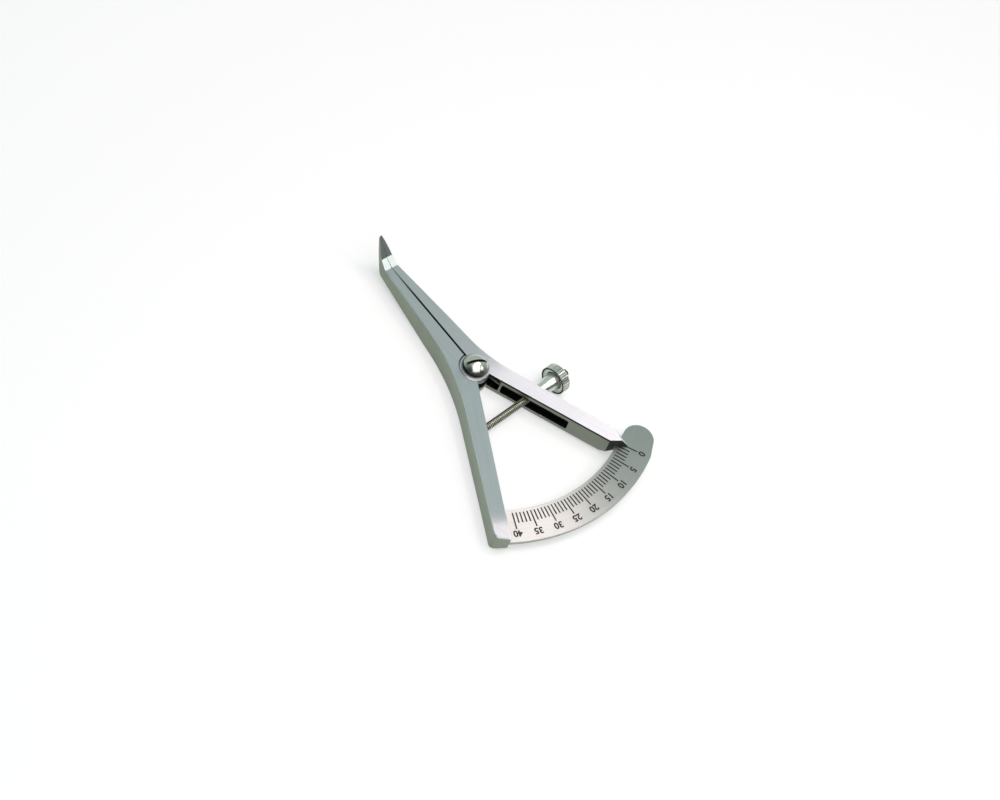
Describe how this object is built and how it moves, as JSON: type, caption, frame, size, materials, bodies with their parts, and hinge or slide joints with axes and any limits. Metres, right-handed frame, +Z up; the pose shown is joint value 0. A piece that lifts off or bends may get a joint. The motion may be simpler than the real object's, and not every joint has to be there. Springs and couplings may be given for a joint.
{
  "type": "angled tip caliper",
  "caption": "Spring caliper with two angled pointed tips, a curved millimetre scale between its handles and a knurled nut on a threaded spindle that holds the setting.",
  "frame": {"origin": "on the pivot axis, level with the underside of the two arms", "axes": "+Y from the pivot towards the tips, +Z up, the way the tips bend, +X to the side of the moving arm with the knurled nut"},
  "size_m": [0.06, 0.0972, 0.0135],
  "materials": {
    "arm_steel": "satin stainless steel",
    "plate_steel": "fine satin stainless plate",
    "screw_steel": "polished stainless steel",
    "nut_steel": "turned and plated",
    "thread_steel": "cut thread, slightly dark",
    "spring_steel": "drawn spring wire"
  },
  "bodies": {
    "fixed": {"fixed_arm": "arm_steel", "pivot_screw": "screw_steel", "scale_plate": "plate_steel", "spindle_pin": "arm_steel", "return_spring": "spring_steel"},
    "moving": {"moving_arm": "arm_steel"},
    "rod": {"spindle": "thread_steel"},
    "collar": {"nut_collar": "nut_steel"},
    "nut": {"knurled_nut": "nut_steel"}
  },
  "joints": [
    {"name": "arm_pivot", "type": "hinge", "parent": "fixed", "child": "moving", "pos_m": [0, 0, 0], "axis": [0, 0, -1], "range_deg": [0, 53.9], "stiffness_Nm_per_rad": 0.05, "springref_deg": -22.92, "deforming": ["return_spring"]},
    {"name": "spindle_swing", "type": "hinge", "parent": "fixed", "child": "rod", "pos_m": [-0.01137, -0.0159, 0.00315], "axis": [0, 0, -1], "range_deg": [0, 19.68]},
    {"name": "collar_travel", "type": "slide", "parent": "rod", "child": "collar", "axis": [0.9963, 0.0854, 0], "range_m": [-0.01606, 0]},
    {"name": "nut_spin", "type": "hinge", "parent": "collar", "child": "nut", "pos_m": [0.01922, -0.01328, 0.00315], "axis": [0.9963, 0.0854, 0], "continuous": true}
  ],
  "couplings": [
    {"joint": "spindle_swing", "follows": "arm_pivot", "ratio": 0.365},
    {"joint": "collar_travel", "follows": "arm_pivot", "m_per_rad": -0.01706}
  ]
}
